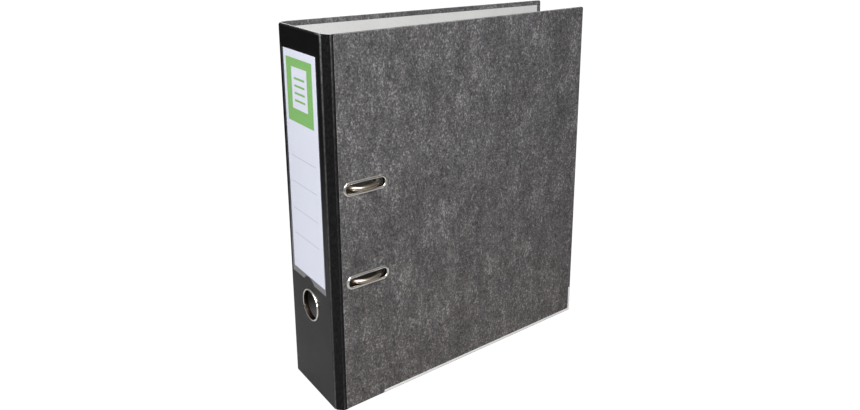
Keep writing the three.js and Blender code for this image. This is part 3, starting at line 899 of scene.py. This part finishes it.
def make_joint(side, place):
    """The black covering where it dips between the spine and a cover, and laps over the cover's edge."""
    outer = joint_points(place, side, [(1.6, 7.6), (1.35, 6.0), (1.5, 4.95), (2.2, 4.1)],
                         [(0.6, 2.3), (1.3, 1.5), (1.85, 0.75), (2.3, 0.22), (2.8, 0.02), (3.4, 0.1),
                          (4.4, 0.14), (6.6, 0.14)])
    inner = joint_points(place, side, [(2.2, 7.6), (2.2, 6.3), (2.4, 5.4), (2.95, 4.75)],
                         [(0.9, 3.3), (1.5, 2.9), (2.1, 2.6), (2.7, 2.45), (3.2, 2.38), (3.8, 2.35),
                          (4.6, 2.35), (6.6, 2.35)])
    ridge = len(outer) * JOINT_RIDGE
    drop = FRONT_TOP_DROP if side == "front" else 0

    def wobble(x, k, z):
        """Small unevenness along the crease, and down to the cover's top edge where it is lower."""
        reach = math.sin(math.pi * min(k, len(outer)) / len(outer))
        wave = math.sin(z / 9.0) + 0.6 * math.sin(z / 3.7 + 1) + 0.4 * math.sin(z / 23 + 2)
        share = min(1, max(0, (x - SPINE_FACE - 2) / 5))
        return (0.03 * wave * reach, 0, -drop * share * z / TOP)

    def wear_and_highlight(k, z):
        """A painted highlight, with some rubbing, on the ridge over the cover board's edge, most of all
        near the top and the bottom.
        """
        spread = 4 if k < ridge else 12
        near_ridge = max(0, 1 - abs(k - ridge) / spread)
        ends = 0.7 * math.exp(-(TOP - z) / 60) + 0.4 * math.exp(-z / 12) + 0.1
        return near_ridge * min(1, ends)

    bm = prism(outer + inner[::-1], JOINT_FOOT, TOP - JOINT_TOP_INSET, 90, wobble, wear_and_highlight,
               turn=len(outer))
    skin = build(f"{side}_joint_skin", bm, MATERIALS["black_joint"])
    skin.data.materials.append(MATERIALS["cloudy_paper"])
    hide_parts(f"{side}_hinge_strip")
    blend_joint(skin)


def make_joint_lining(side, place):
    """The pale paper that runs over a joint inside, from the spine's lining to the cover's."""
    near = joint_points(place, side, [(2.45, 9.5), (2.45, 7.0), (2.65, 5.8), (3.2, 5.0)],
                        [(1.0, 3.6), (2.0, 2.95), (3.0, 2.62), (5.0, 2.5), (10.2, 2.5)])
    far = joint_points(place, side, [(2.68, 9.5), (2.68, 7.0), (2.88, 5.9), (3.36, 5.2)],
                       [(1.14, 3.8), (2.1, 3.17), (3.1, 2.84), (5.0, 2.72), (10.2, 2.72)])
    bm = prism(near + far[::-1], LINING_INSET, TOP - LINING_INSET, 40)
    lining = build(f"{side}_joint_lining", bm, MATERIALS["lining_paper"])
    blend_joint(lining)


def make_finger_ring():
    """A turned ring with a rolled lip, and two small nicks in its inner edge where it was clinched."""
    funnel = [(RING_BORE, RING_DEPTH), (RING_BORE, 1.2), (RING_BORE + 0.15, 0.5), (RING_BORE + 0.4, -0.1),
              (RING_BORE + 0.65, -0.55)]
    roll = [(RING_OUTER - 1.45, -0.8), (RING_OUTER - 1.1, -1.04), (RING_OUTER - 0.75, -1.1),
            (RING_OUTER - 0.38, -1.0), (RING_OUTER - 0.13, -0.7), (RING_OUTER, -0.3),
            (RING_OUTER, -0.02)]
    lip = funnel + roll + [(RING_BARREL, -0.02), (RING_BARREL, RING_DEPTH)]
    bm = lathe(lip, RING_STEPS)
    # the bore takes the second, dark metal: painted shade inside the hole
    second_material(bm, 0, len(funnel) - 1, RING_STEPS)
    for vert in bm.verts:
        angle = math.atan2(vert.co.z, vert.co.y)
        for nick in RING_NICKS:
            turn = abs(math.remainder(angle - nick, 2 * math.pi))
            if vert.co.x < 0 and turn < NICK_REACH:
                pressed = 0.5 * (1 + math.cos(math.pi * turn / NICK_REACH))
                vert.co.x += NICK_DEPTH * pressed
                vert.co.y *= 1 - NICK_SQUEEZE * pressed
                vert.co.z *= 1 - NICK_SQUEEZE * pressed
    ring = build("finger_ring_lip", bm, MATERIALS["satin_nickel"],
                 Matrix.Translation((SPINE_FACE, RING_CENTRE.y, RING_CENTRE.z)), 60)
    ring.data.materials.append(MATERIALS["metal_in_painted_shade"])
    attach(ring, "spine")
    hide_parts("finger_ring")


def make_label():
    """The printed card in the pocket."""
    outline = rounded_rectangle(LABEL_LOW.y, LABEL_HIGH.y, LABEL_LOW.z, LABEL_HIGH.z, (0.4,) * 4)
    bm = slab(outline, [], *LABEL_DEPTHS, (0.06, 0.06), on_spine)
    card = build("label_card", bm, MATERIALS["label_print"])
    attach(card, "spine")
    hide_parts("spine_label")


def pocket_border_outline():
    """The film round the label: two sides and the foot, with a thumb notch in the foot."""
    y0, y1, z0 = POCKET_LOW.y, POCKET_HIGH.y, POCKET_LOW.z
    middle = (y0 + y1) / 2
    radius = (NOTCH_WIDTH ** 2 / 4 + NOTCH_HEIGHT ** 2) / (2 * NOTCH_HEIGHT)
    half_angle = math.asin(NOTCH_WIDTH / 2 / radius)
    notch = []
    for k in range(17):
        angle = -half_angle + 2 * half_angle * k / 16
        notch.append((middle + radius * math.sin(angle),
                      z0 + NOTCH_HEIGHT - radius + radius * math.cos(angle)))
    z1 = LABEL_HIGH.z + FILM_PLAY
    inner = [(LABEL_HIGH.y + FILM_PLAY, z1), (LABEL_HIGH.y + FILM_PLAY, LABEL_LOW.z - FILM_PLAY / 2),
             (LABEL_LOW.y - FILM_PLAY, LABEL_LOW.z - FILM_PLAY / 2), (LABEL_LOW.y - FILM_PLAY, z1)]
    points = [(y0, z1), (y0, z0), *notch, (y1, z0), (y1, z1), *inner]
    return lambda grow: points


def make_pocket():
    """A clear pocket: a film over the label, and its welded border on the spine."""
    border = build("pocket_border", slab(pocket_border_outline(), [], *BORDER_DEPTHS, (0, 0), on_spine),
                   MATERIALS["pocket_border"])
    cover = rounded_rectangle(LABEL_LOW.y - FILM_PLAY, LABEL_HIGH.y + FILM_PLAY,
                              LABEL_LOW.z - FILM_PLAY / 2, LABEL_HIGH.z + FILM_PLAY, (0.3,) * 4)
    film = build("pocket_film", slab(cover, [], *FILM_DEPTHS, (0.03, 0.03), on_spine),
                 MATERIALS["pocket_film"])
    for piece in (border, film):
        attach(piece, "spine")
        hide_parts("label_pocket")


# Mechanism

def on_mechanism(across, height, z):
    """A point on the mechanism: across from the spine, up from the lining, and z."""
    return Vector((across, -height, z))


def bent_path(corners, steps=14):
    """A line through corner points, each rounded to its own bend radius."""
    path = [corners[0][0]]
    for (before, _), (at, bend), (after, _) in zip(corners, corners[1:], corners[2:]):
        back = (before - at).normalized()
        onward = (after - at).normalized()
        centre = at + (back + onward) * bend
        for k in range(steps + 1):
            angle = math.pi / 2 * k / steps
            path.append(centre - onward * bend * math.cos(angle) - back * bend * math.sin(angle))
    path.append(corners[-1][0])
    return [p for i, p in enumerate(path) if i == 0 or (p - path[i - 1]).length > 0.01]


def arch_corners(z, crown_bend):
    """One arch at height z, from its tip over the crown to the crossbar: corners and their bends."""
    axle_across, axle_height = AXLE
    return [(on_mechanism(POST_ACROSS, POST_TOP + TIP_GAP, z), 0),
            (on_mechanism(POST_ACROSS, CROWN_HEIGHT, z), crown_bend),
            (on_mechanism(axle_across, CROWN_HEIGHT, z), crown_bend),
            (on_mechanism(axle_across, axle_height, z), FOOT_BEND)]


def make_arch_wire():
    """Both arches, the crossbar that they turn on and its crank, bent from one wire."""
    axle_across, axle_height = AXLE
    crown_bend = (POST_ACROSS - axle_across) / 2
    near, far = CRANK_ENDS
    crank = [(axle_across, near), (CRANK_ACROSS, near), (CRANK_ACROSS, far), (axle_across, far)]
    corners = arch_corners(ARCH_PITCH / 2, crown_bend)
    corners += [(on_mechanism(across, axle_height, z), CRANK_BEND) for across, z in crank]
    corners += arch_corners(-ARCH_PITCH / 2, crown_bend)[::-1]
    swing = Vector((POST_TOP - axle_height, POST_ACROSS - axle_across, 0)).normalized()
    bm = sweep(bent_path(corners), WIRE_RADIUS, end_normals=(swing, swing))
    wire = build("arch_wire_bent", bm, MATERIALS["shaded_arch_nickel"], MECHANISM, 60)
    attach(wire, "arches")
    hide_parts("arch_wire")


def dress_node(name, material, bevel=0.0):
    """A CAD node that stays: its own material, and edges softened by a bevel."""
    node = frame["nodes"][name]
    node.data.materials.clear()
    node.data.materials.append(MATERIALS[material])
    if bevel:
        weld = node.modifiers.new("weld", "WELD")
        weld.merge_threshold = 1e-6
        edges = node.modifiers.new("soft_edges", "BEVEL")
        edges.width = bevel * MM
        edges.segments = 2
        edges.limit_method = "ANGLE"
        edges.angle_limit = math.radians(40)
        edges.use_clamp_overlap = True


def dress_nodes():
    """The CAD nodes that nothing replaces."""
    dress_node("spine_lining", "lining_paper")
    for name in ("base_plate", "post_upper", "post_lower", "lever_bracket", "lever_pivot_pin", "lever",
                 "roller_pin", "roller", "compressor_bar", "finger_ring_washer",
                 *(f"rivet_{i}" for i in range(1, 5))):
        dress_node(name, "nickel", 0.25)


make_camera()
make_world()
make_floor()
for name, settings in LIGHTS.items():
    make_area_light(name, *settings)

MATERIALS = {
    "cloudy_paper": cloudy_paper_material(),
    "black_covering": black_covering_material("black_covering", 0.35, 0.04, 0.24),
    "black_joint": black_covering_material("black_joint", 1.0, 0.12, 0.08),
    "lining_paper": lining_material(),
    "nickel": nickel_material("nickel", 0.24, srgb(206, 199, 188), srgb(222, 215, 205)),
    "satin_nickel": nickel_material("satin_nickel", 0.3, srgb(232, 227, 220), srgb(246, 243, 238)),
    # a dark brown copy of the nickel: painted shade on the walls of the slots and the ring's bore
    "metal_in_painted_shade": nickel_material("metal_in_painted_shade", 0.5, srgb(30, 23, 19), srgb(44, 35, 30)),
    # a darker, browner copy of the nickel: painted shade on the arches inside the file
    "shaded_arch_nickel": nickel_material("shaded_arch_nickel", 0.36, srgb(172, 158, 142), srgb(194, 181, 165)),
    "edge_rail": rail_material(),
    "label_print": label_material(),
    "pocket_film": film_material(),
    "pocket_border": pocket_border_material(),
}

make_cover("front", FRONT_COVER, slot_openings(SLOT_PLAY))
make_cover("back", BACK_COVER, [])
make_lining("front", FRONT_COVER, slot_openings(LINING_SLOT_PLAY))
make_lining("back", BACK_COVER, [])
for name, z in zip(("slot_eyelet_upper", "slot_eyelet_lower"), slot_centres()):
    make_eyelet(name, z)
make_rail("front", FRONT_COVER)
make_rail("back", BACK_COVER)
make_spine()
make_joint("front", FRONT_COVER)
make_joint("back", BACK_COVER)
make_joint_lining("front", FRONT_COVER)
make_joint_lining("back", BACK_COVER)
make_finger_ring()
make_label()
make_pocket()
make_arch_wire()
dress_nodes()

bpy.context.scene.view_settings.view_transform = "Standard"
